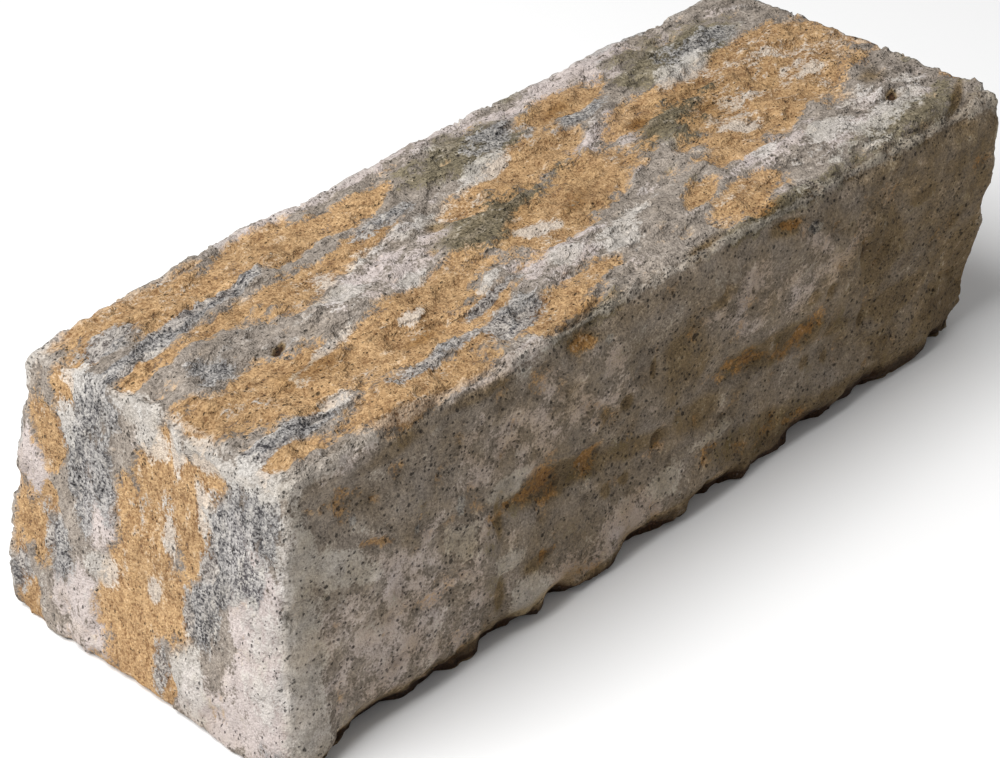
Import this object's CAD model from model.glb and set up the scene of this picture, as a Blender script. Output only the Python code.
"""Hewn concrete walling block: its rough skin, its blended colours and a plain studio stage.

The block is one tumbled casting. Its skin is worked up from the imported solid: hewn relief, flaked
terraces, chipped arrises, pits and a ragged foot. Its finish is a blend of grey, lilac, olive, buff,
charcoal and pale concrete, laid over the faces in patches and broken up by sand and open pores.
"""

import math
import random

import bpy
import numpy as np
from bpy.props import FloatProperty, FloatVectorProperty, IntProperty, PointerProperty
from bpy.types import Operator, Panel, PropertyGroup
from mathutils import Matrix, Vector


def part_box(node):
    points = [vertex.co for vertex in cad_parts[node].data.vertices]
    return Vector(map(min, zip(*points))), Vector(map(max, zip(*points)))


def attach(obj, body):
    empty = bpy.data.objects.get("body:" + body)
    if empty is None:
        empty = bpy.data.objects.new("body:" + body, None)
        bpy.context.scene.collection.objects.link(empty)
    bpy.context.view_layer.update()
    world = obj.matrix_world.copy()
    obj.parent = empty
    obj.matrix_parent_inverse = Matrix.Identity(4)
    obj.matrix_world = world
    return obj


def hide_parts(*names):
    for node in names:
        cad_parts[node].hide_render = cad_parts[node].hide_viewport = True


bl_info = {
    "name": "Hewn Walling Block",
    "version": (1, 0, 0),
    "blender": (4, 5, 0),
    "location": "View3D > Sidebar > Wall Block",
    "description": "Skins and finishes a tumbled concrete walling block and sets its studio stage",
    "category": "Object",
}

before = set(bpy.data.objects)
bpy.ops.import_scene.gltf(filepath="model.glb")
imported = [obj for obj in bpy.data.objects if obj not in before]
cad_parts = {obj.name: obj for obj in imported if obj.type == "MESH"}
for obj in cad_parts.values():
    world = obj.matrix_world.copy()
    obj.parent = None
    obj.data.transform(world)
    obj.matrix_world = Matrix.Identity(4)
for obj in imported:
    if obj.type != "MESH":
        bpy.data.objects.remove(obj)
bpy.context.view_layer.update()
LOW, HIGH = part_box("wall_block")

MILLIMETRE = 0.001


def linear(hex_colour):
    """The linear colour of an sRGB hex value such as #AC9E8E."""
    parts = [int(hex_colour[place:place + 2], 16) / 255 for place in (1, 3, 5)]
    return tuple(part / 12.92 if part <= 0.04045 else ((part + 0.055) / 1.055) ** 2.4 for part in parts)


def per_metre(millimetres):
    """The scale of a pattern whose features are that many millimetres across."""
    return 1000.0 / millimetres


def add(tree, kind, inputs=(), out=0, **settings):
    """Adds a node with its settings, sets or links its inputs, and returns one of its outputs.

    Inputs and the output go by name or number. A colour Mix has its share at 0, its two colours at
    6 and 7 and its result at 2.
    """
    node = tree.nodes.new(kind)
    for name, value in settings.items():
        setattr(node, name, value)
    for key, value in dict(inputs).items():
        if isinstance(value, bpy.types.NodeSocket):
            tree.links.new(value, node.inputs[key])
        else:
            node.inputs[key].default_value = value
    return node.outputs[out]


# Where the colours lie

# Each patch is (u, v, half length, half width, turn, strength), in millimetres and degrees, with u
# and v along its face's directions in FACES: along the block and across it on the top, along it and
# up on the front, and to the front and up on the near end. Stain of strength 1 is rust and of
# strength 2 is grime, and where the skin is pocked its pores lie close.
PATCHES = {
    ("top", "buff"): (
        (-150, 57, 34, 7, 2, 1.0), (-95, 58, 26, 5, 4, 0.9), (-145, 47, 44, 11, 2, 1.1),
        (-88, 47, 26, 8, 6, 1.1), (-48, 47, 17, 6, 14, 1.1), (70, 47, 24, 9, 8, 1.0),
        (-182, 41, 9, 4, 20, 1.0), (-176, 19, 20, 5, 4, 0.9), (-140, 22, 18, 5, 4, 1.0),
        (-108, 18, 22, 9, 6, 1.0), (-66, 26, 20, 6, 10, 1.0), (22, 24, 34, 9, 13, 1.1),
        (-14, 20, 16, 6, 12, 0.9), (82, 20, 20, 7, 14, 0.9), (145, 25, 48, 8, 6, 1.0),
        (-190, -22, 15, 11, 0, 1.2), (-152, -28, 28, 17, 2, 1.2), (-104, -32, 36, 13, 0, 1.15),
        (-76, -20, 34, 8, 8, 1.05), (-61, -38, 12, 4, 12, 1.0), (14, -8, 44, 11, 12, 1.15),
        (36, 2, 20, 10, 20, 1.0), (-10, -25, 20, 6, 8, 0.95), (150, 0, 54, 20, 14, 1.2),
        (176, 18, 26, 14, 6, 1.1), (100, -22, 24, 9, 12, 1.0), (130, -18, 34, 9, 10, 1.0),
        (90, -30, 16, 6, 10, 0.8), (-180, -57, 18, 5, -4, 1.0), (-124, -60, 34, 8, 0, 1.05),
        (-84, -52, 15, 5, 4, 1.0), (-50, -58, 20, 8, 6, 1.0), (-20, -52, 12, 5, 8, 0.7),
        (52, -41, 12, 5, 14, 1.0), (62, -56, 20, 9, 6, 0.95),
    ),
    ("top", "charcoal"): (
        (-190, 25, 15, 3, 6, 1.5), (-160, 30, 18, 3.4, 12, 1.5), (-130, 35, 18, 3, 8, 1.5),
        (-175, 40, 10, 6, 0, 0.7), (-165, -1, 8, 6, 0, 0.8), (-199, 0, 6, 9, 0, 0.85),
        (-188, -50, 16, 3.4, -4, 1.4), (-165, -50, 11, 3, 0, 1.5), (-100, -50, 26, 3, 4, 0.8),
        (-63, -50, 16, 6, 8, 0.75), (-50, 31, 15, 4, 8, 0.8), (66, 35, 15, 4, 8, 0.8),
        (-60, -36, 14, 2, 10, 0.8), (25, 45, 16, 8, 0, 0.6), (150, 44, 22, 8, 0, 0.6),
    ),
    ("top", "olive"): (
        (-20, 2, 27, 11, 12, 1.25), (100, 6, 30, 12, 12, 1.25), (12, 48, 30, 13, 4, 0.8),
        (136, 46, 36, 13, 4, 0.8), (30, 6, 16, 8, 10, 0.6), (150, 6, 16, 8, 10, 0.6),
        (-50, -72, 24, 5, 6, 0.8), (60, -72, 30, 5, 4, 0.8), (150, -64, 45, 10, 8, 0.65),
    ),
    ("top", "lilac"): (
        (-60, 6, 44, 14, 4, 0.42), (58, 12, 32, 13, 6, 0.4), (-40, 66, 60, 5, 2, 0.5),
        (-120, 74, 50, 4, 2, 0.5), (80, 60, 76, 10, 0, 0.5), (-25, -35, 22, 10, 8, 0.4),
        (150, -52, 44, 14, 6, 0.2), (95, -40, 26, 10, 8, 0.4), (-100, -72, 60, 5, 0, 0.4),
    ),
    ("top", "pale"): (
        (-100, 0, 10, 6, 0, 1.0), (-73, -7, 6, 3, 10, 0.9), (2, -43, 11, 6, 12, 1.0),
        (18, -34, 10, 3, 10, 0.9), (-22, -37, 8, 4, 10, 0.9), (122, -47, 11, 6, 12, 1.0),
        (95, -38, 7, 3, 10, 0.9), (-15, -15, 9, 4, -12, 0.8), (105, -17, 8, 4, -12, 0.8),
        (-92, -25, 7, 2, -10, 0.5), (-55, -30, 7, 2, 14, 0.9), (-130, -20, 16, 2, 14, 0.8),
        (10, 33, 15, 5, 14, 0.8), (130, 33, 15, 6, 10, 0.8), (-168, 24, 4, 2, 0, 1.0),
        (150, -50, 38, 12, 6, 0.3), (150, 4, 56, 22, 12, 0.15), (-150, -47, 6, 3, 0, 0.9),
        (-60, 18, 60, 5, 4, 0.3),
    ),
    ("top", "stain"): (
        (-20, 2, 30, 12, 12, 0.35), (100, 6, 30, 12, 12, 0.35), (-38, 14, 6, 3, 10, 1.0),
        (79, 14, 6, 3, 10, 1.0), (178, -28, 10, 5, 30, 0.85), (-45, -67, 9, 3, 10, 0.9),
        (62, -68, 9, 3, 10, 0.9), (-95, -36, 8, 4, 10, 0.8), (-140, -26, 16, 6, 0, 0.62),
        (64, 46, 10, 4, 14, 0.75), (12, -11, 12, 3, 20, 0.7), (-5, -73, 8, 2.6, 10, 1.4),
        (110, -71, 9, 2.6, 8, 1.5), (62, -76, 10, 2.4, 4, 1.4), (18, -70, 13, 3, 12, 1.4),
        (82, -72, 9, 2.8, 10, 1.4), (150, -73, 10, 2.4, 10, 1.3), (185, -66, 14, 2, 30, 1.4),
        (-137, -5, 3, 1.6, 20, 3.0), (169, -45, 3, 1.6, 20, 3.0),
    ),
    ("top", "pocked"): (
        (18, -69, 14, 4, 12, 1.7), (-7, -72, 8, 4, 0, 1.5), (81, -70, 10, 4, 10, 1.7),
        (110, -73, 9, 4, 0, 1.8), (-45, -70, 20, 4, 6, 1.1), (150, -70, 24, 5, 0, 1.2),
        (-137, -5, 4, 3, 20, 1.2), (169, -45, 5, 3, 20, 1.2), (62, -66, 10, 4, 4, 1.0),
        (-20, 2, 24, 9, 12, 0.7), (100, 6, 26, 10, 12, 0.7), (-170, -40, 20, 8, 0, 0.5),
        (12, 48, 30, 12, 4, 0.5), (186, -30, 16, 30, 0, 0.5),
    ),
    ("front", "buff"): (
        (-62, 56, 34, 7, -7, 0.25), (66, 54, 36, 7, -7, 0.2), (52, 20, 34, 7, -8, 0.22),
        (-162, 99, 24, 8, -8, 0.16), (-48, 108, 6, 1.6, -10, 0.45), (67, 108, 6, 1.6, -10, 0.45),
        (-76, 28, 7, 1.6, 0, 0.5), (-156, 78, 8, 2, -20, 0.4), (42, 20, 9, 2, -20, 0.4),
        (192, 88, 6, 5, 0, 0.4),
    ),
    ("front", "charcoal"): (
        (-37, 105, 2, 1.6, 0, 1.1), (83, 102, 2.4, 1.8, 0, 1.2), (-21, 83, 1.2, 1.4, 0, 1.0),
        (-166, 91, 1.2, 1.4, 0, 1.0), (-138, 74, 1.2, 1.4, 0, 1.0), (-116, 72, 2, 4, 0, 0.7),
    ),
    ("front", "olive"): (
        (-62, 56, 34, 7, -7, 0.12), (66, 54, 36, 7, -7, 0.15), (60, 17, 40, 9, -8, 0.15),
        (-100, 40, 6, 24, 0, 0.3),
    ),
    ("front", "lilac"): (
        (-150, 40, 44, 28, 10, 0.35), (-30, 16, 46, 12, 0, 0.35), (70, 84, 40, 16, 0, 0.3),
        (-70, 86, 40, 16, 0, 0.3),
    ),
    ("front", "pale"): (
        (-89, 67, 9, 4, 0, 0.8), (-92, 36, 8, 3, 0, 0.8), (-82, 16, 9, 9, -30, 0.95),
        (26, 33, 12, 3, 0, 0.75), (-6, 24, 8, 5, 0, 0.6), (-115, 58, 8, 8, 0, 0.45),
        (-176, 76, 16, 6, -24, 0.8), (-197, 55, 10, 62, 0, 0.95),
    ),
    ("front", "stain"): (
        (40, 60, 250, 160, 0, 0.58), (175, 60, 115, 110, 0, 0.85), (0, 0, 400, 5, 0, 1.9),
        (150, 2, 60, 9, 0, 1.9), (-124, 3, 24, 7, 4, 1.4), (0, 5, 28, 7, 4, 1.3),
        (-62, 56, 36, 8, -7, 1.3), (-18, 49, 26, 6, -8, 1.0), (66, 54, 38, 9, -7, 1.3),
        (104, 46, 14, 5, -8, 1.1), (60, 17, 46, 12, -8, 1.1), (112, 10, 40, 9, -4, 1.2),
        (-78, 28, 11, 3, 0, 1.1), (-98, 24, 4, 9, 0, 1.2), (-97, 56, 3, 9, 0, 1.3),
        (-162, 99, 26, 8, -8, 0.5), (-146, 109, 20, 4, 4, 0.8), (-50, 109, 14, 4, -6, 1.1),
        (-104, 112, 20, 3, 0, 1.0), (66, 108, 14, 4, -6, 1.1), (28, 93, 12, 4, 12, 0.9),
        (155, 87, 12, 4, 12, 1.2), (-38, 72, 4, 4, 0, 1.1), (-26, 72, 4, 4, 0, 1.3),
        (85, 69, 4, 4, 0, 1.1), (97, 67, 4, 4, 0, 1.3), (-38, 38, 4, 4, 0, 1.1),
        (-27, 38, 3, 3, 0, 1.3), (85, 37, 4, 4, 0, 1.2), (98, 34, 3, 3, 0, 1.3),
        (186, 20, 30, 22, 0, 1.2), (8, 74, 20, 24, 0, 0.98), (14, 46, 20, 10, 0, 1.05),
        (132, 72, 20, 24, 0, 1.15), (145, 42, 30, 12, 0, 1.2), (190, 44, 16, 24, 0, 1.25),
        (-10, 79, 2, 5, 0, 1.6), (-8, 46, 3, 5, 0, 1.6), (118, 76, 3, 5, 0, 1.6),
        (122, 42, 3, 5, 0, 1.6),
    ),
    ("front", "pocked"): (
        (0, 112, 210, 6, 0, 0.55), (8, 74, 22, 20, 0, 0.8), (132, 72, 22, 20, 0, 0.8),
        (170, 40, 40, 40, 0, 0.7), (-30, 55, 20, 30, 0, 0.6), (-150, 60, 50, 50, 0, 0.4),
        (60, 20, 60, 20, 0, 0.5), (-120, 96, 30, 8, 0, 0.6), (-36, 36, 12, 8, 0, 0.9),
    ),
    ("near_end", "buff"): (
        (-45, 106, 6, 11, 12, 1.0), (-52, 85, 8, 13, 8, 1.0), (-51, 58, 5, 7, 0, 0.9),
        (-61, 45, 9, 14, 16, 0.95), (-69, 31, 5, 9, 10, 0.8), (-64, 8, 7, 13, 6, 0.9),
        (10, 107, 4, 9, 0, 1.1), (29, 101, 11, 8, 10, 1.1), (12, 87, 15, 14, 4, 1.5),
        (26, 78, 8, 12, 0, 1.3), (0, 60, 13, 22, 12, 1.5), (5, 45, 18, 15, 0, 1.4),
        (-7, 30, 15, 15, 6, 1.4), (-3, 12, 13, 16, 6, 1.4), (13, 8, 4, 12, 0, 1.0),
        (32, 72, 5, 6, 0, 0.7), (-10, 0, 20, 6, 0, 0.8),
    ),
    ("near_end", "charcoal"): (
        (-29, 105, 8, 14, 10, 1.0), (-36, 90, 9, 12, 10, 1.0), (-22, 82, 6, 15, 12, 0.85),
        (-33, 66, 6, 12, 12, 0.9), (-47, 42, 8, 12, 16, 0.85), (-19, 106, 5, 10, 0, 0.8),
        (-70, 20, 6, 9, 0, 0.7), (45, 86, 11, 17, 6, 1.0), (58, 97, 9, 12, 0, 0.95),
        (38, 68, 8, 9, 0, 0.85), (30, 46, 8, 10, 12, 1.0), (52, 74, 8, 9, 0, 0.8),
        (10, 17, 4, 9, -6, 0.95), (69, 10, 5, 5, 0, 0.8), (34, 57, 6, 7, 0, 0.8),
    ),
    ("near_end", "lilac"): (
        (60, 58, 11, 32, 16, 1.0), (68, 30, 17, 22, 0, 1.0), (78, 84, 8, 20, 0, 0.8),
        (-62, 66, 9, 14, 12, 0.7), (-32, 20, 18, 18, 0, 0.3), (-22, 60, 9, 20, 12, 0.4),
        (40, 12, 18, 12, 0, 0.8),
    ),
    ("near_end", "pale"): (
        (-40, 114, 6, 7, 0, 0.9), (-42, 95, 4, 9, 10, 0.9), (-8, 118, 12, 7, 0, 1.0),
        (4, 104, 6, 6, 0, 0.9), (16, 108, 3, 8, 0, 1.1), (34, 112, 12, 5, 0, 1.0),
        (60, 116, 14, 6, 0, 0.9), (13, 71, 3, 7, 8, 1.1), (5, 46, 3, 4, 0, 1.0),
        (-22, 43, 7, 6, 0, 0.9), (26, 22, 7, 16, 8, 0.85), (31, 90, 4, 9, 10, 0.9),
        (74, 38, 5, 10, 0, 0.8), (75, 100, 7, 12, 0, 0.8), (64, 48, 10, 30, 10, 0.45),
    ),
    ("near_end", "pocked"): (
        (-36, 80, 12, 34, 12, 0.6), (45, 84, 14, 22, 6, 0.6), (-10, 106, 12, 10, 0, 0.8),
        (30, 46, 10, 14, 0, 0.5),
    ),
}

# The faces that the picture doesn't show: how many patches of each paint are strewn over them.
STREWN = {"buff": 9, "charcoal": 7, "pale": 9, "lilac": 6, "olive": 3}
STREW_SEED = 7

# Pushes into or out of a face, with a height in millimetres in place of the strength.
PUSHES = {
    "front": (
        (-66, 56, 34, 7, -6, -1.3), (-96, 40, 3, 24, 0, -1.2), (-84, 17, 9, 10, -30, 1.6),
        (-90, 66, 9, 5, 0, 1.0), (-92, 36, 8, 3, 0, 1.0), (-170, 100, 20, 10, -16, -2.4),
        (44, 56, 28, 6, -5, -0.9), (46, 20, 30, 9, -10, -1.6), (26, 34, 14, 4, 0, 1.0),
        (12, 68, 16, 22, 0, -0.8), (6, 40, 10, 4, 0, 0.9), (134, 68, 16, 22, 0, -0.8),
        (128, 36, 10, 4, 0, 0.9), (0, 83, 9, 3, 6, -1.0), (32, 98, 2, 7, -8, -0.9),
        (-50, 115, 14, 6, -5, -3.4), (66, 113, 12, 7, -5, -3.6), (112, 115, 14, 5, 0, -2.6),
        (170, 113, 16, 7, -10, -3.2), (10, 118, 12, 4, 0, -2.2), (-108, 118, 14, 4, 0, -2.2),
        (-10, 77, 3, 6, 0, -1.8), (-8, 45, 3, 5, 0, -1.8), (118, 75, 3, 6, 0, -1.8),
        (122, 41, 3, 5, 0, -1.8), (-27, 72, 3, 3, 0, -1.6), (97, 67, 3, 3, 0, -1.6),
        (202, 16, 26, 26, 0, -2.6),
    ),
    "top": (
        (-152, -28, 28, 16, 2, -0.9), (-190, -22, 14, 10, 0, -0.7), (-108, -33, 30, 12, 0, -0.7),
        (-100, 2, 26, 9, 4, 0.7), (2, -42, 26, 10, 10, 0.7), (122, -46, 26, 10, 10, 0.8),
        (-137, -5, 4, 3, 20, -2.2), (169, -45, 5, 3, 20, -2.6), (-38, 14, 7, 3, 10, -1.2),
        (79, 14, 7, 3, 10, -1.2), (178, -28, 12, 6, 30, -1.4), (152, -7, 50, 14, 20, -0.6),
        (-160, 31, 20, 5, 12, -0.6),
    ),
    "far_end": (
        (-76, 16, 26, 26, 0, -3.0),
    ),
    "near_end": (
        (12, 88, 14, 13, 4, -0.7), (0, 50, 15, 30, 12, -0.6), (60, 60, 12, 30, 16, 0.7),
        (-52, 84, 8, 14, 8, -0.7), (-10, 105, 8, 8, 0, -1.2), (34, 113, 14, 5, 0, 0.6),
    ),
}

# Each face's u and v direction and the way it looks.
FACES = {
    "top": (Vector((1, 0, 0)), Vector((0, 1, 0)), Vector((0, 0, 1))),
    "front": (Vector((1, 0, 0)), Vector((0, 0, 1)), Vector((0, -1, 0))),
    "back": (Vector((1, 0, 0)), Vector((0, 0, 1)), Vector((0, 1, 0))),
    "near_end": (Vector((0, -1, 0)), Vector((0, 0, 1)), Vector((-1, 0, 0))),
    "far_end": (Vector((0, 1, 0)), Vector((0, 0, 1)), Vector((1, 0, 0))),
}

# The paints in the order in which they lie on the grey, with the most that each one covers and how
# sharply its dark grains stand against its light ones.
PAINTS = {
    "lilac": (0.85, 0.8), "olive": (0.8, 1.5), "buff": (0.94, 1.1), "charcoal": (0.88, 1.8),
    "pale": (0.62, 1.0),
}
GREY_SHARPNESS = 1.15

# A face's paint fades out as the skin turns away from it between these two cosines.
TURNED_AWAY = 0.25
TURNED_TO = 0.60

# How noise is scaled along each axis where it is drawn out: less than one stretches it.
STREAKS = (0.55, 1.0, 0.6)
FLAKE_STREAKS = (0.6, 1.0, 1.0)

# The noise that makes each paint's edge wander: a plain one, or one with a fourth direction, cut at
# that place along it.
WANDER_SLICES = {
    "lilac": None, "olive": 0.0, "buff": 2.0, "charcoal": 4.0, "pale": 6.0, "stain": 8.0,
}
FOOT_SLICE = 17.0
CHIP_SLICE = 9.0

# The values of the flaking noise at which the top steps up to its next terrace.
TERRACES = (0.45, 0.58)

# What the noises of the relief are across, in millimetres.
FLAKE_SIZE = 19
WANDER_SIZE = 9
FOOT_SIZE = 34
PIT_SPACING = 17
CHIP_SIZE = 9

# What the patterns of the finish are across, in millimetres, and how far grit shifts them.
GRAIN_SIZE = 0.75
GRIT_SIZE = 1.3
CLUMP_SIZE = 4
CLOUD_SIZE = 28
GRIT_SHIFT = 0.6

# The middle of the noise that frays the edges of the paints.
FRAY_MIDDLE = 1.18

# The pores: how far apart they lie in millimetres, the widest one's radius as a share of that, and
# how rare they are. Streaks stretch their pattern, so it is laid closer by PORE_CLOSING.
PORES = ((1.4, 0.36, 0.46), (2.6, 0.27, 0.50), (6.0, 0.14, 0.50))
PORE_CLOSING = 0.75

# Heights of the bump, in millimetres.
CLUMP_HEIGHT = 1.7
GRIT_HEIGHT = 0.6
GRAIN_RIM_HEIGHT = -0.3
STEP_HEIGHT = 0.3
PORE_HEIGHT = -0.7


class BlockRelief(PropertyGroup):
    """The sizes of the block's rough skin."""

    mesh_size: FloatProperty(
        name="Mesh Size", description="Edge length of the skin's faces",
        default=1.47 * MILLIMETRE, unit="LENGTH")
    soften: IntProperty(
        name="Soften", description="Rounds of smoothing that wear the cast edges round", default=2)
    bed_cut: FloatProperty(
        name="Bed Cut", description="How much of the softened skin is cut off over the flat bed",
        default=0.5 * MILLIMETRE, unit="LENGTH")
    arris_draw: FloatProperty(
        name="Arris Draw", description="How much of the cast edges' radius is drawn out sharp",
        default=6.5 * MILLIMETRE, unit="LENGTH")
    hewn_width: FloatProperty(
        name="Hewn Width", description="Breadth of the hewn hollows and swells",
        default=34 * MILLIMETRE, unit="LENGTH")
    hewn_depth: FloatProperty(
        name="Hewn Depth", description="Full height of the hewn hollows and swells",
        default=4.2 * MILLIMETRE, unit="LENGTH")
    knap_width: FloatProperty(
        name="Knap Width", description="Breadth of the small knapped facets",
        default=12 * MILLIMETRE, unit="LENGTH")
    knap_depth: FloatProperty(
        name="Knap Depth", description="Full height of the small knapped facets",
        default=3.2 * MILLIMETRE, unit="LENGTH")
    crumb_width: FloatProperty(
        name="Crumb Width", description="Breadth of the finest relief that is modelled",
        default=3.6 * MILLIMETRE, unit="LENGTH")
    crumb_depth: FloatProperty(
        name="Crumb Depth", description="Full height of the finest relief that is modelled",
        default=1.7 * MILLIMETRE, unit="LENGTH")
    chip_depth: FloatProperty(
        name="Chip Depth", description="How far chips bite into the arrises",
        default=1.9 * MILLIMETRE, unit="LENGTH")
    foot_rise: FloatProperty(
        name="Foot Rise", description="Height over the ground up to which the foot is broken",
        default=17 * MILLIMETRE, unit="LENGTH")
    foot_depth: FloatProperty(
        name="Foot Depth", description="How far the ragged foot is broken back",
        default=8.5 * MILLIMETRE, unit="LENGTH")
    pit_depth: FloatProperty(
        name="Pit Depth", description="Depth of the larger pits",
        default=1.7 * MILLIMETRE, unit="LENGTH")
    flake_depth: FloatProperty(
        name="Flake Depth", description="Height of the steps where flakes have split off",
        default=1.6 * MILLIMETRE, unit="LENGTH")
    side_share: FloatProperty(
        name="Side Share", description="How much of the top's fine relief the calmer sides have",
        default=0.45, subtype="FACTOR")
    peel_depth: FloatProperty(
        name="Peel Depth", description="Drop from the grey skin to the bare buff sand",
        default=1.3 * MILLIMETRE, unit="LENGTH")


def colour_property(name, description, hex_colour):
    """A colour that a user can change, from its sRGB hex value."""
    return FloatVectorProperty(
        name=name, description=description, default=linear(hex_colour),
        subtype="COLOR", size=3, min=0.0, max=1.0)


class BlockColours(PropertyGroup):
    """The dark and light grains of each of the block's concretes."""

    grey_dark: colour_property("Grey Dark", "Dark grains of the grey concrete", "#665D54")
    grey_light: colour_property("Grey Light", "Light grains of the grey concrete", "#B0A59A")
    lilac_dark: colour_property("Lilac Dark", "Dark grains of the lilac grey", "#AA9D97")
    lilac_light: colour_property("Lilac Light", "Light grains of the lilac grey", "#DACFCC")
    olive_dark: colour_property("Olive Dark", "Dark grains of the green grey", "#463F2A")
    olive_light: colour_property("Olive Light", "Light grains of the green grey", "#857B60")
    buff_dark: colour_property("Buff Dark", "Dark grains of the bare sand", "#6D4926")
    buff_light: colour_property("Buff Light", "Light grains of the bare sand", "#D1AD7E")
    stain: colour_property("Stain", "What a rust stain leaves of the light", "#C5B38F")
    grime: colour_property("Grime", "What damp grime at the foot leaves of the light", "#7A6350")
    charcoal_dark: colour_property("Charcoal Dark", "Dark grains of the charcoal", "#25262D")
    charcoal_light: colour_property("Charcoal Light", "Light grains of the charcoal", "#B2AFAC")
    pale_dark: colour_property("Pale Dark", "Dark grains of the lime bloom", "#A29B93")
    pale_light: colour_property("Pale Light", "Light grains of the lime bloom", "#DDD9D3")


class StageSettings(PropertyGroup):
    """The floor, the light and the camera."""

    floor_colour: colour_property("Floor Colour", "Matt white floor", "#F4F4F4")
    floor_size: FloatProperty(
        name="Floor Size", description="Side of the square floor", default=12.0, unit="LENGTH")
    floor_gap: FloatProperty(
        name="Floor Gap", description="How far the floor lies under the bed, so that they don't flicker",
        default=0.05 * MILLIMETRE, unit="LENGTH")
    sky_colour: colour_property("Sky Colour", "Soft light from all round", "#FFFFFF")
    sky_strength: FloatProperty(name="Sky Strength", description="Light from all round", default=0.33)
    key_power: FloatProperty(
        name="Key Power", description="Power of the large lamp", default=56.5, unit="POWER")
    key_azimuth: FloatProperty(
        name="Key Azimuth", description="Where the large lamp stands, turned from the front",
        default=math.radians(-106), subtype="ANGLE")
    key_elevation: FloatProperty(
        name="Key Elevation", description="Height of the large lamp over the horizon",
        default=math.radians(55), subtype="ANGLE")
    key_distance: FloatProperty(
        name="Key Distance", description="From the block to the large lamp", default=2.0, unit="LENGTH")
    key_side: FloatProperty(
        name="Key Side", description="Side of the large lamp's square face", default=1.5, unit="LENGTH")
    view_azimuth: FloatProperty(
        name="View Azimuth", description="Where the camera stands, turned from the front",
        default=math.radians(-46.753), subtype="ANGLE")
    view_elevation: FloatProperty(
        name="View Elevation", description="Height of the camera over the horizon",
        default=math.radians(32.945), subtype="ANGLE")
    view_distance: FloatProperty(
        name="View Distance", description="From the camera to the block's middle",
        default=1.0947, unit="LENGTH")
    view_right: FloatProperty(
        name="View Right", description="Sideways step of the camera",
        default=-12.25 * MILLIMETRE, unit="LENGTH")
    view_up: FloatProperty(
        name="View Up", description="Step of the camera up its own frame",
        default=-19.16 * MILLIMETRE, unit="LENGTH")
    lens: FloatProperty(name="Lens", description="Focal length", default=100.0, unit="CAMERA")
    film_width: FloatProperty(
        name="Film Width", description="Width of the camera's film", default=36.0, unit="CAMERA")


# The skin

def only(piece):
    """Selects one piece alone and makes it the active one."""
    bpy.ops.object.select_all(action="DESELECT")
    piece.select_set(True)
    bpy.context.view_layer.objects.active = piece


def apply_modifier(piece, kind, **settings):
    """Adds a modifier with its settings and applies it."""
    modifier = piece.modifiers.new(kind.title(), kind)
    for name, value in settings.items():
        setattr(modifier, name, value)
    only(piece)
    bpy.ops.object.modifier_apply(modifier=modifier.name)


def copy_solid(node, name):
    """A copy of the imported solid, with its loose triangles merged into one closed mesh."""
    piece = bpy.data.objects.new(name, node.data.copy())
    bpy.context.scene.collection.objects.link(piece)
    only(piece)
    bpy.ops.object.mode_set(mode="EDIT")
    bpy.ops.mesh.select_all(action="SELECT")
    bpy.ops.mesh.remove_doubles(threshold=0.001 * MILLIMETRE)
    bpy.ops.mesh.normals_make_consistent(inside=False)
    bpy.ops.object.mode_set(mode="OBJECT")
    return piece


def read_vectors(mesh, what):
    """The mesh's points (co) or its normals (normal) as rows of three numbers."""
    values = np.zeros(len(mesh.vertices) * 3)
    mesh.vertices.foreach_get(what, values)
    return values.reshape(-1, 3)


def store_values(mesh, name, values):
    """Keeps one number for each of the mesh's points, as an attribute of that name."""
    mesh.attributes.new(name, "FLOAT", "POINT").data.foreach_set("value", values)


def patch_field(points, normals, face, patch):
    """How strongly a patch covers each point: its strength in the middle, half of it on its rim."""
    u_way, v_way, look = FACES[face]
    u, v, length, width, turn, strength = patch
    along = points @ np.array(u_way) / MILLIMETRE - u
    across = points @ np.array(v_way) / MILLIMETRE - v
    turn = math.radians(turn)
    long_way = along * math.cos(turn) + across * math.sin(turn)
    wide_way = across * math.cos(turn) - along * math.sin(turn)
    reach = np.sqrt((long_way / length) ** 2 + (wide_way / width) ** 2)
    facing = (normals @ np.array(look) - TURNED_AWAY) / (TURNED_TO - TURNED_AWAY)
    return strength * np.clip(1.5 - reach, 0, 1) * np.clip(facing, 0, 1)


def strew(face, count, draw):
    """Patches strewn over a face that the picture doesn't show, about as large as the others."""
    wide = (HIGH.x if face == "back" else HIGH.y) / MILLIMETRE
    tall = HIGH.z / MILLIMETRE
    for _ in range(count):
        long_side, short_side = draw.uniform(10, 34), draw.uniform(4, 11)
        half = (long_side, short_side) if face == "back" else (short_side, long_side * 0.7)
        yield (draw.uniform(-wide, wide), draw.uniform(0, tall), *half, draw.uniform(-4, 16),
               draw.uniform(0.8, 1.1))


def paint_skin(mesh):
    """Stores how far each paint and each push covers the skin, as attributes of its points."""
    points = read_vectors(mesh, "co")
    normals = read_vectors(mesh, "normal")
    patches = dict(PATCHES)
    draw = random.Random(STREW_SEED)
    for face in ("back", "far_end"):
        for paint, count in STREWN.items():
            patches[face, paint] = tuple(strew(face, count, draw))
    for paint in (*PAINTS, "stain", "pocked"):
        cover = np.zeros(len(points))
        for (face, painted), rows in patches.items():
            if painted != paint:
                continue
            for patch in rows:
                cover = np.maximum(cover, patch_field(points, normals, face, patch))
        store_values(mesh, paint, cover)
    push = np.zeros(len(points))
    for face, rows in PUSHES.items():
        for patch in rows:
            push += patch_field(points, normals, face, patch)
    store_values(mesh, "push", push * MILLIMETRE)


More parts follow.
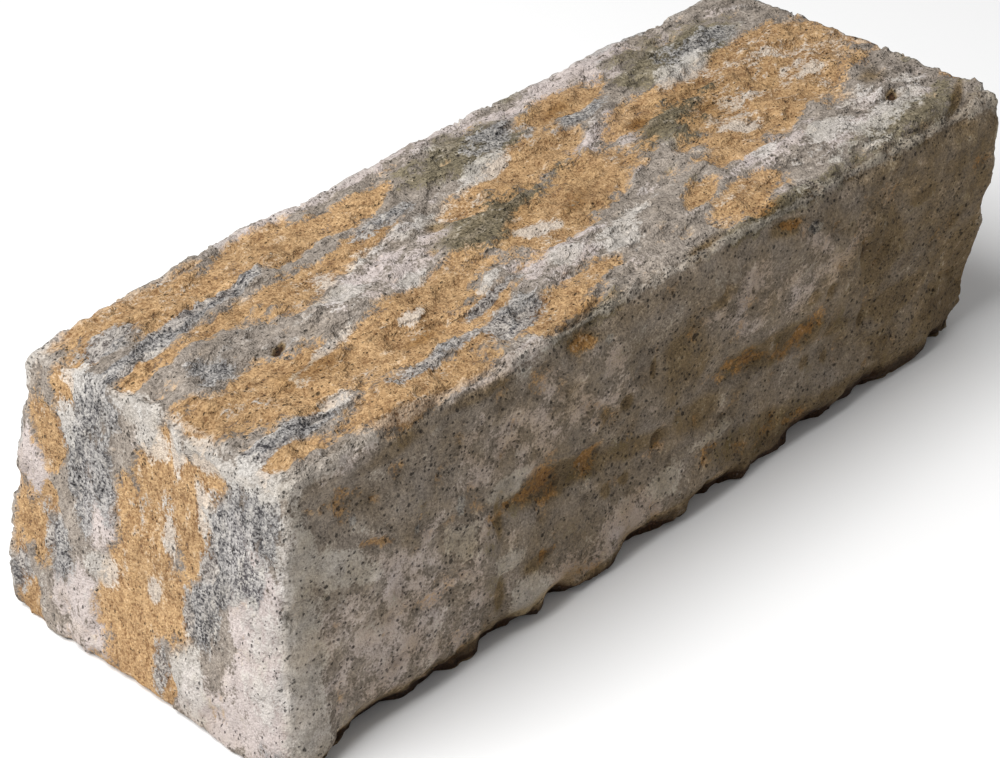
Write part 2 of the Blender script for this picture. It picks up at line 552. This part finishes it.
def relief_tree(relief):
    """Geometry nodes that roughen the skin along its normals and store what the finish needs."""
    tree = bpy.data.node_groups.new("Hewn relief", "GeometryNodeTree")
    tree.interface.new_socket("Geometry", in_out="INPUT", socket_type="NodeSocketGeometry")
    tree.interface.new_socket("Geometry", in_out="OUTPUT", socket_type="NodeSocketGeometry")
    skin = add(tree, "NodeGroupInput")
    place = add(tree, "GeometryNodeInputPosition")
    normal = add(tree, "GeometryNodeInputNormal")

    # The arris is where the skin slants between two faces. An edge of radius r lies r (1 / c - 1)
    # inside the sharp one, where c is the cosine of that slant.
    upright = add(tree, "ShaderNodeSeparateXYZ", {0: normal}, out="Z")
    slant = add(tree, "ShaderNodeVectorMath", {0: normal}, operation="ABSOLUTE")
    slant = add(tree, "ShaderNodeSeparateXYZ", {0: slant}, out="X").node
    square = add(tree, "ShaderNodeMath", {0: slant.outputs["X"], 1: slant.outputs["Y"]},
                 operation="MAXIMUM")
    square = add(tree, "ShaderNodeMath", {0: square, 1: slant.outputs["Z"]}, operation="MAXIMUM")
    slant = add(tree, "ShaderNodeMath", {0: 1.0, 1: square}, operation="DIVIDE")
    slant = add(tree, "ShaderNodeMath", {0: slant, 1: 1.0}, operation="SUBTRACT")
    above = add(tree, "ShaderNodeMapRange", {"Value": upright, "From Min": -0.3, "From Max": -0.05})
    slant = add(tree, "ShaderNodeMath", {0: slant, 1: above}, operation="MULTIPLY")
    slant = add(tree, "GeometryNodeBlurAttribute", {"Value": slant, "Iterations": 2},
                data_type="FLOAT")
    arris = add(tree, "ShaderNodeMapRange", {"Value": slant, "From Min": 0.04, "From Max": 0.25})

    # The top is livelier than the standing faces, and only it has flaked.
    lying = add(tree, "ShaderNodeMapRange", {"Value": upright, "From Min": 0.70, "From Max": 0.92})
    lively = add(tree, "ShaderNodeMapRange", {"Value": lying, "To Min": relief.side_share})

    # The arris is drawn out again from the smoothed cast edge, the standing ones least.
    draw = add(tree, "ShaderNodeMapRange", {
        "Value": upright, "From Max": 0.5, "To Min": 0.22, "To Max": 1.0})
    draw = add(tree, "ShaderNodeMath", {0: draw, 1: relief.arris_draw}, operation="MULTIPLY")
    height = add(tree, "ShaderNodeMath", {0: slant, 1: draw}, operation="MULTIPLY")

    def raise_by(amount, depth):
        """Adds an amount to the relief, times the height that an amount of one has."""
        nonlocal height
        height = add(tree, "ShaderNodeMath", {0: amount, 1: depth, 2: height},
                     operation="MULTIPLY_ADD")

    # Hewn hollows, knapped facets and crumbs: three sizes of the same broken face.
    for width, depth, detail in (
            (relief.hewn_width, relief.hewn_depth, 2.0),
            (relief.knap_width, relief.knap_depth, 3.0),
            (relief.crumb_width, relief.crumb_depth, 1.0)):
        wave = add(tree, "ShaderNodeTexNoise", {
            "Vector": place, "Scale": 1 / width, "Detail": detail, "Roughness": 0.55})
        wave = add(tree, "ShaderNodeMath", {0: wave, 1: 0.5}, operation="SUBTRACT")
        if width < relief.hewn_width:
            wave = add(tree, "ShaderNodeMath", {0: wave, 1: lively}, operation="MULTIPLY")
        raise_by(wave, depth)

    # Flakes have split off the top along the block and left low terraces with sharp edges.
    drawn = add(tree, "ShaderNodeVectorMath", {0: place, 1: FLAKE_STREAKS}, operation="MULTIPLY")
    flake = add(tree, "ShaderNodeTexNoise", {
        "Vector": drawn, "Scale": per_metre(FLAKE_SIZE), "Detail": 3.0, "Roughness": 0.55})
    for terrace in TERRACES:
        step = add(tree, "ShaderNodeMapRange", {
            "Value": flake, "From Min": terrace - 0.02, "From Max": terrace + 0.02})
        step = add(tree, "ShaderNodeMath", {0: step, 1: lying}, operation="MULTIPLY")
        raise_by(step, relief.flake_depth)
    # The middle terrace keeps the solid's height.
    raise_by(lying, -relief.flake_depth)

    streaked = add(tree, "ShaderNodeVectorMath", {0: place, 1: STREAKS}, operation="MULTIPLY")

    def wander(paint):
        """The paint's own noise round zero, drawn out along the block and down its ends."""
        inputs = {"Vector": streaked, "Scale": per_metre(WANDER_SIZE), "Detail": 4.0, "Roughness": 0.6}
        dimensions = "3D"
        if WANDER_SLICES[paint] is not None:
            inputs["W"] = WANDER_SLICES[paint]
            dimensions = "4D"
        noise = add(tree, "ShaderNodeTexNoise", inputs, noise_dimensions=dimensions)
        return add(tree, "ShaderNodeMath", {0: noise, 1: 0.5}, operation="SUBTRACT")

    # The edges of the paints wander, and where the bare sand shows the grey skin has peeled.
    stored = skin
    for paint in PAINTS:
        cover = add(tree, "GeometryNodeInputNamedAttribute", {"Name": paint}, data_type="FLOAT")
        roam = add(tree, "ShaderNodeMapRange", {
            "Value": cover, "From Max": 0.15, "To Min": 0.9, "To Max": 2.6})
        cover = add(tree, "ShaderNodeMath", {0: wander(paint), 1: roam, 2: cover},
                    operation="MULTIPLY_ADD")
        cover = add(tree, "ShaderNodeMapRange", {
            "Value": cover, "From Min": 0.0, "From Max": 0.85, "To Max": 1.45})
        if paint == "buff":
            peeled = add(tree, "ShaderNodeMapRange", {
                "Value": cover, "From Min": 0.45, "From Max": 0.75})
            raise_by(peeled, -relief.peel_depth)
        stored = add(tree, "GeometryNodeStoreNamedAttribute", {
            "Geometry": stored, "Name": paint, "Value": cover}, data_type="FLOAT", domain="POINT")

    # The foot is broken back level with the ground, in scallops, but hardly on the near end.
    level = add(tree, "ShaderNodeSeparateXYZ", {0: place}, out="Z")
    foot = add(tree, "ShaderNodeMapRange", {
        "Value": level, "From Min": relief.foot_rise, "From Max": 0.0},
        interpolation_type="SMOOTHSTEP")
    scallop = add(tree, "ShaderNodeTexNoise", {
        "Vector": place, "Scale": per_metre(FOOT_SIZE), "Detail": 3.0, "Roughness": 0.5,
        "W": FOOT_SLICE}, noise_dimensions="4D")
    scallop = add(tree, "ShaderNodeMapRange", {
        "Value": scallop, "From Min": 0.42, "From Max": 0.60, "To Min": 0.08})
    foot = add(tree, "ShaderNodeMath", {0: foot, 1: scallop}, operation="MULTIPLY")
    lengthwise = add(tree, "ShaderNodeSeparateXYZ", {0: normal}, out="X")
    spared = add(tree, "ShaderNodeMapRange", {
        "Value": lengthwise, "From Min": -0.9, "From Max": -0.4, "To Min": 0.15})
    foot = add(tree, "ShaderNodeMath", {0: foot, 1: spared}, operation="MULTIPLY")

    # Rust wanders too, and damp has drawn grime into the broken foot.
    stain = add(tree, "GeometryNodeInputNamedAttribute", {"Name": "stain"}, data_type="FLOAT")
    stain = add(tree, "ShaderNodeMath", {0: wander("stain"), 1: 1.3, 2: stain},
                operation="MULTIPLY_ADD")
    stained = add(tree, "ShaderNodeMath", {0: stain, 1: 0.0}, operation="MAXIMUM")
    stained = add(tree, "ShaderNodeMath", {0: foot, 1: 1.7, 2: stained}, operation="MULTIPLY_ADD")
    stored = add(tree, "GeometryNodeStoreNamedAttribute", {
        "Geometry": stored, "Name": "stain", "Value": stained}, data_type="FLOAT", domain="POINT")

    # Pits: in some cells of a loose pattern the middle is sunk.
    cells = {"Vector": place, "Scale": per_metre(PIT_SPACING)}
    middle = add(tree, "ShaderNodeTexVoronoi", cells, out="Distance")
    chance = add(tree, "ShaderNodeTexVoronoi", cells, out="Color")
    chance = add(tree, "ShaderNodeSeparateXYZ", {0: chance})
    reach = add(tree, "ShaderNodeMapRange", {
        "Value": chance, "From Min": 0.55, "From Max": 1.0, "To Max": 0.22})
    pit = add(tree, "ShaderNodeMath", {0: reach, 1: middle}, operation="SUBTRACT")
    pit = add(tree, "ShaderNodeMapRange", {"Value": pit, "From Max": 0.1})
    raise_by(pit, -relief.pit_depth)

    # Chips bite the arrises where a coarse noise is high, deepest along the front.
    bite = add(tree, "ShaderNodeTexNoise", {
        "Vector": place, "Scale": per_metre(CHIP_SIZE), "Detail": 4.0, "Roughness": 0.6,
        "W": CHIP_SLICE}, noise_dimensions="4D")
    bite = add(tree, "ShaderNodeMapRange", {"Value": bite, "From Min": 0.48, "From Max": 0.60})
    chip = add(tree, "ShaderNodeMath", {0: bite, 1: arris}, operation="MULTIPLY")
    crosswise = add(tree, "ShaderNodeSeparateXYZ", {0: normal}, out="Y")
    crosswise = add(tree, "ShaderNodeMapRange", {
        "Value": crosswise, "From Min": 0.3, "From Max": -0.3, "To Min": 0.35})
    chip = add(tree, "ShaderNodeMath", {0: chip, 1: crosswise}, operation="MULTIPLY")
    raise_by(chip, -relief.chip_depth)

    # The hollows and swells that were placed by hand.
    push = add(tree, "GeometryNodeInputNamedAttribute", {"Name": "push"}, data_type="FLOAT")
    raise_by(push, 1.0)

    # The bed is left flat.
    free = add(tree, "ShaderNodeMapRange", {"Value": upright, "From Min": -0.97, "From Max": -0.80})
    height = add(tree, "ShaderNodeMath", {0: height, 1: free}, operation="MULTIPLY")
    offset = add(tree, "ShaderNodeVectorMath", {0: normal, "Scale": height}, operation="SCALE")

    # The broken foot goes in level with the ground.
    inward = add(tree, "ShaderNodeVectorMath", {0: normal, 1: (-1.0, -1.0, 0.0)},
                 operation="MULTIPLY")
    inward = add(tree, "ShaderNodeVectorMath", {0: inward}, operation="NORMALIZE")
    broken = add(tree, "ShaderNodeMath", {0: foot, 1: relief.foot_depth}, operation="MULTIPLY")
    inward = add(tree, "ShaderNodeVectorMath", {0: inward, "Scale": broken}, operation="SCALE")
    offset = add(tree, "ShaderNodeVectorMath", {0: offset, 1: inward}, operation="ADD")

    for name, value in (("arris", arris), ("flake", flake), ("lying", lying)):
        stored = add(tree, "GeometryNodeStoreNamedAttribute", {
            "Geometry": stored, "Name": name, "Value": value}, data_type="FLOAT", domain="POINT")
    moved = add(tree, "GeometryNodeSetPosition", {"Geometry": stored, "Offset": offset})

    # Nothing reaches below the bed: heights stop at zero, and the limits of x and y are far off.
    place = add(tree, "GeometryNodeInputPosition")
    lifted = add(tree, "ShaderNodeVectorMath", {0: place, 1: (-10.0, -10.0, 0.0)}, operation="MAXIMUM")
    moved = add(tree, "GeometryNodeSetPosition", {"Geometry": moved, "Position": lifted})
    result = tree.nodes.new("NodeGroupOutput")
    tree.links.new(moved, result.inputs[0])
    return tree


def cut_bed(piece, height):
    """Cuts the skin just above the ground and closes it there with one flat face, the bed."""
    only(piece)
    bpy.ops.object.mode_set(mode="EDIT")
    bpy.ops.mesh.select_all(action="SELECT")
    bpy.ops.mesh.bisect(
        plane_co=(0, 0, height), plane_no=(0, 0, 1), use_fill=True, clear_inner=True)
    bpy.ops.object.mode_set(mode="OBJECT")


def seat_bed(piece):
    """Snaps the rim of the bed to the ground plane."""
    bed = max(piece.data.polygons, key=lambda face: len(face.vertices))
    for index in bed.vertices:
        piece.data.vertices[index].co.z = 0.0


# The finish

def tumbled_concrete(colours):
    """Tumbled blended concrete: dry, matt and sandy, with open pores and lime bloom.

    Pigmented mixes of one cement lie side by side, so their edges are grainy rather than painted.
    Sand stands out of the worn paste as dark and light grains under a millimetre across, and the
    arrises are rubbed pale.
    """
    material = bpy.data.materials.new("Tumbled blended concrete")
    material.use_nodes = True
    tree = material.node_tree
    tree.nodes.clear()
    place = add(tree, "ShaderNodeTexCoord", out="Object")

    # Noise that runs from clumps of sand down to single grains, and a place made ragged by it.
    grit = add(tree, "ShaderNodeTexNoise", {
        "Vector": place, "Scale": per_metre(GRIT_SIZE), "Detail": 1.0, "Roughness": 0.7})
    ragged = add(tree, "ShaderNodeVectorMath", {
        0: grit.node.outputs["Color"], 1: (GRIT_SHIFT * MILLIMETRE,) * 3, 2: place},
        operation="MULTIPLY_ADD")
    streaked = add(tree, "ShaderNodeVectorMath", {0: ragged, 1: STREAKS}, operation="MULTIPLY")
    clump = add(tree, "ShaderNodeTexNoise", {
        "Vector": streaked, "Scale": per_metre(CLUMP_SIZE), "Detail": 2.0, "Roughness": 0.65})
    cloud = add(tree, "ShaderNodeTexNoise", {
        "Vector": place, "Scale": per_metre(CLOUD_SIZE), "Detail": 3.0, "Roughness": 0.55})

    # Sand grains, each with a tone of its own.
    rim = add(tree, "ShaderNodeTexVoronoi", {"Vector": ragged, "Scale": per_metre(GRAIN_SIZE)})
    toss = add(tree, "ShaderNodeSeparateXYZ", {0: rim.node.outputs["Color"]})
    grain = add(tree, "ShaderNodeMath", {0: clump, 1: 1.3, 2: grit}, operation="MULTIPLY_ADD")
    grain = add(tree, "ShaderNodeMath", {0: toss, 1: 0.5, 2: grain}, operation="MULTIPLY_ADD")
    grain = add(tree, "ShaderNodeMapRange", {
        "Value": grain, "From Min": 0.80, "From Max": 2.0})

    # Sand and clumps fray the edges of the paints.
    fray = add(tree, "ShaderNodeMath", {0: grit, 1: 0.9}, operation="MULTIPLY")
    fray = add(tree, "ShaderNodeMath", {0: clump, 1: 1.3, 2: fray}, operation="MULTIPLY_ADD")
    fray = add(tree, "ShaderNodeMath", {0: toss, 1: 0.15, 2: fray}, operation="MULTIPLY_ADD")
    fray = add(tree, "ShaderNodeMath", {0: fray, 1: FRAY_MIDDLE}, operation="SUBTRACT")

    def concrete(paint, sharpness):
        """A concrete's dark and light grains, the contrast between them scaled by its sharpness."""
        share = add(tree, "ShaderNodeMapRange", {
            "Value": grain, "From Min": 0.5 - 0.5 / sharpness, "From Max": 0.5 + 0.5 / sharpness})
        return add(tree, "ShaderNodeMix", {
            0: share,
            6: (*getattr(colours, paint + "_dark"), 1),
            7: (*getattr(colours, paint + "_light"), 1)}, out=2, data_type="RGBA")

    colour = concrete("grey", GREY_SHARPNESS)
    for paint, (most, sharpness) in PAINTS.items():
        cover = add(tree, "ShaderNodeAttribute", out="Fac", attribute_name=paint)
        frayed = add(tree, "ShaderNodeMapRange", {"Value": cover, "From Max": 0.30, "To Max": 1.9})
        cover = add(tree, "ShaderNodeMath", {0: fray, 1: frayed, 2: cover},
                    operation="MULTIPLY_ADD")
        cover = add(tree, "ShaderNodeMapRange", {
            "Value": cover, "From Min": 0.20, "From Max": 0.80, "To Max": most})
        colour = add(tree, "ShaderNodeMix", {
            0: cover, 6: colour, 7: concrete(paint, sharpness)}, out=2, data_type="RGBA")

    # Rust has soaked into the hollows, and grime lies where the stain is strongest.
    stain = add(tree, "ShaderNodeAttribute", out="Fac", attribute_name="stain")
    stain = add(tree, "ShaderNodeMath", {0: fray, 1: 0.3, 2: stain}, operation="MULTIPLY_ADD")
    for start, filter_colour in ((0.0, colours.stain), (1.1, colours.grime)):
        soaked = add(tree, "ShaderNodeMapRange", {
            "Value": stain, "From Min": start, "From Max": start + 1.0})
        colour = add(tree, "ShaderNodeMix", {0: soaked, 6: colour, 7: (*filter_colour, 1)}, out=2,
                     data_type="RGBA", blend_type="MULTIPLY")

    # Rubbed arrises are pale.
    arris = add(tree, "ShaderNodeAttribute", out="Fac", attribute_name="arris")
    rubbed = add(tree, "ShaderNodeMath", {0: fray, 1: 1.5, 2: arris}, operation="MULTIPLY_ADD")
    rubbed = add(tree, "ShaderNodeMapRange", {
        "Value": rubbed, "From Min": 0.35, "From Max": 1.0, "To Max": 0.28})
    colour = add(tree, "ShaderNodeMix", {
        0: rubbed, 6: colour, 7: concrete("pale", 1.0)}, out=2, data_type="RGBA")

    # Broad tone drifts.
    tone = add(tree, "ShaderNodeMapRange", {
        "Value": cloud, "From Min": 0.3, "From Max": 0.7, "To Min": 0.86, "To Max": 1.12})
    colour = add(tree, "ShaderNodeVectorMath", {0: colour, "Scale": tone}, operation="SCALE")

    def darken(mask, left):
        """Leaves that share of the colour where the mask is full."""
        nonlocal colour
        shade = add(tree, "ShaderNodeMapRange", {"Value": mask, "To Min": 1.0, "To Max": left})
        colour = add(tree, "ShaderNodeVectorMath", {0: colour, "Scale": shade}, operation="SCALE")

    # Fine pores between the grains and a few open ones, all dark inside, thick where it is pocked.
    pocked = add(tree, "ShaderNodeAttribute", out="Fac", attribute_name="pocked")
    pocked = add(tree, "ShaderNodeMath", {0: pocked, 1: 0.45}, operation="MULTIPLY")
    pocked = add(tree, "ShaderNodeMath", {0: arris, 1: 0.1, 2: pocked}, operation="MULTIPLY_ADD")
    holes = 0.0
    for apart, reach_share, rare in PORES:
        middle = add(tree, "ShaderNodeTexVoronoi", {
            "Vector": streaked, "Scale": per_metre(apart * PORE_CLOSING)})
        chance = add(tree, "ShaderNodeSeparateXYZ", {0: middle.node.outputs["Color"]})
        chance = add(tree, "ShaderNodeMath", {0: chance, 1: pocked}, operation="ADD")
        reach = add(tree, "ShaderNodeMapRange", {
            "Value": chance, "From Min": rare, "From Max": 1.0, "To Max": reach_share})
        pore = add(tree, "ShaderNodeMath", {0: reach, 1: middle}, operation="SUBTRACT")
        pore = add(tree, "ShaderNodeMapRange", {"Value": pore, "From Max": 0.3 / apart})
        holes = add(tree, "ShaderNodeMath", {0: pore, 1: holes}, operation="MAXIMUM")
    darken(holes, 0.28)

    # The relief that is finer than the mesh.
    height = 0.0

    def raise_by(amount, millimetres):
        """Adds an amount to the bump, times the height that an amount of one has."""
        nonlocal height
        height = add(tree, "ShaderNodeMath", {0: amount, 1: millimetres * MILLIMETRE, 2: height},
                     operation="MULTIPLY_ADD")

    raise_by(clump, CLUMP_HEIGHT)
    raise_by(grit, GRIT_HEIGHT)
    raise_by(rim, GRAIN_RIM_HEIGHT)
    raise_by(holes, PORE_HEIGHT)

    # The terraces' edges are ragged, with a dark crevice under some of them.
    lying = add(tree, "ShaderNodeAttribute", out="Fac", attribute_name="lying")
    patchy = add(tree, "ShaderNodeMapRange", {"Value": cloud, "From Min": 0.46, "From Max": 0.60})
    patchy = add(tree, "ShaderNodeMath", {0: patchy, 1: lying}, operation="MULTIPLY")
    flake = add(tree, "ShaderNodeAttribute", out="Fac", attribute_name="flake")
    flake = add(tree, "ShaderNodeMath", {0: fray, 1: 0.03, 2: flake}, operation="MULTIPLY_ADD")
    for terrace in TERRACES:
        step = add(tree, "ShaderNodeMapRange", {
            "Value": flake, "From Min": terrace - 0.01, "From Max": terrace + 0.01})
        step = add(tree, "ShaderNodeMath", {0: step, 1: lying}, operation="MULTIPLY")
        raise_by(step, STEP_HEIGHT)
        below = add(tree, "ShaderNodeMath", {0: flake, 1: terrace - 0.01, 2: 0.01},
                    operation="COMPARE")
        below = add(tree, "ShaderNodeMath", {0: below, 1: patchy}, operation="MULTIPLY")
        darken(below, 0.66)

    # Dry and rough all over, without a gleam.
    bump = add(tree, "ShaderNodeBump", {"Height": height, "Distance": 1.0})
    dry = add(tree, "ShaderNodeMapRange", {"Value": grit, "To Min": 0.84, "To Max": 0.98})

    surface = add(tree, "ShaderNodeBsdfPrincipled", {
        "Base Color": colour, "Roughness": dry, "Normal": bump, "Specular IOR Level": 0.25})
    output = tree.nodes.new("ShaderNodeOutputMaterial")
    tree.links.new(surface, output.inputs["Surface"])
    return material


class WALLBLOCK_OT_block(Operator):
    """Hew, pit and chip the block's skin and finish it in blended concrete"""

    bl_idname = "wallblock.block"
    bl_label = "Hewn Block"

    def execute(self, context):
        relief = context.scene.block_relief
        piece = copy_solid(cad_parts["wall_block"], "hewn_block")
        apply_modifier(piece, "REMESH", mode="VOXEL", voxel_size=relief.mesh_size)
        apply_modifier(piece, "SMOOTH", factor=0.5, iterations=relief.soften)
        cut_bed(piece, relief.bed_cut)
        paint_skin(piece.data)
        apply_modifier(piece, "NODES", node_group=relief_tree(relief))
        seat_bed(piece)
        bpy.ops.object.shade_smooth()
        piece.data.materials.clear()
        piece.data.materials.append(tumbled_concrete(context.scene.block_colours))
        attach(piece, "root")
        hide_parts("wall_block")
        return {"FINISHED"}


def toward(azimuth, elevation):
    """The way from the block to a lamp or camera, turned from the front and raised."""
    level = math.cos(elevation)
    return Vector((math.sin(azimuth) * level, -math.cos(azimuth) * level, math.sin(elevation)))


class WALLBLOCK_OT_stage(Operator):
    """Set the white floor, the soft light and the camera"""

    bl_idname = "wallblock.stage"
    bl_label = "Studio Stage"

    def execute(self, context):
        scene = context.scene
        stage = scene.block_stage
        middle = (LOW + HIGH) / 2

        bpy.ops.object.select_all(action="DESELECT")
        bpy.ops.mesh.primitive_plane_add(
            size=stage.floor_size, location=(0, 0, -stage.floor_gap))
        floor = context.active_object
        floor.name = "studio_floor"
        # Matt paint takes the block's soft shadow and shows no gleam of the lamp.
        paint = bpy.data.materials.new("Matt white floor paint")
        paint.use_nodes = True
        shader = paint.node_tree.nodes["Principled BSDF"]
        shader.inputs["Base Color"].default_value = (*stage.floor_colour, 1)
        shader.inputs["Roughness"].default_value = 0.9
        floor.data.materials.append(paint)

        way = toward(stage.key_azimuth, stage.key_elevation)
        bpy.ops.object.light_add(type="AREA", location=middle + way * stage.key_distance)
        key = context.active_object
        key.name = "key_lamp"
        key.rotation_euler = way.to_track_quat("Z", "Y").to_euler()
        key.data.size = stage.key_side
        key.data.energy = stage.key_power

        world = bpy.data.worlds.new("Soft sky")
        world.use_nodes = True
        sky = world.node_tree.nodes["Background"]
        sky.inputs["Color"].default_value = (*stage.sky_colour, 1)
        sky.inputs["Strength"].default_value = stage.sky_strength
        scene.world = world

        back = toward(stage.view_azimuth, stage.view_elevation)
        turn = back.to_track_quat("Z", "Y")
        step = turn @ Vector((stage.view_right, stage.view_up, stage.view_distance))
        bpy.ops.object.camera_add(location=middle + step, rotation=turn.to_euler())
        camera = context.active_object
        camera.name = "picture_camera"
        camera.data.lens = stage.lens
        camera.data.sensor_width = stage.film_width
        scene.camera = camera
        scene.view_settings.view_transform = "Standard"
        return {"FINISHED"}


class WALLBLOCK_PT_panel(Panel):
    """The block and its stage in the sidebar"""

    bl_idname = "WALLBLOCK_PT_panel"
    bl_label = "Hewn Walling Block"
    bl_space_type = "VIEW_3D"
    bl_region_type = "UI"
    bl_category = "Wall Block"

    def draw(self, context):
        scene = context.scene
        for operator, groups in (
                (WALLBLOCK_OT_block, (scene.block_relief, scene.block_colours)),
                (WALLBLOCK_OT_stage, (scene.block_stage,))):
            box = self.layout.box()
            box.operator(operator.bl_idname)
            for group in groups:
                for name in group.__annotations__:
                    box.prop(group, name)


GROUPS = (
    ("block_relief", BlockRelief),
    ("block_colours", BlockColours),
    ("block_stage", StageSettings),
)
CLASSES = (WALLBLOCK_OT_block, WALLBLOCK_OT_stage, WALLBLOCK_PT_panel)


def register():
    for name, group in GROUPS:
        bpy.utils.register_class(group)
        setattr(bpy.types.Scene, name, PointerProperty(type=group))
    for shown in CLASSES:
        bpy.utils.register_class(shown)


def unregister():
    for shown in reversed(CLASSES):
        bpy.utils.unregister_class(shown)
    for name, group in reversed(GROUPS):
        delattr(bpy.types.Scene, name)
        bpy.utils.unregister_class(group)


def main():
    """Builds the block and its stage."""
    register()
    bpy.ops.wallblock.block()
    bpy.ops.wallblock.stage()


if __name__ == "__main__":
    main()
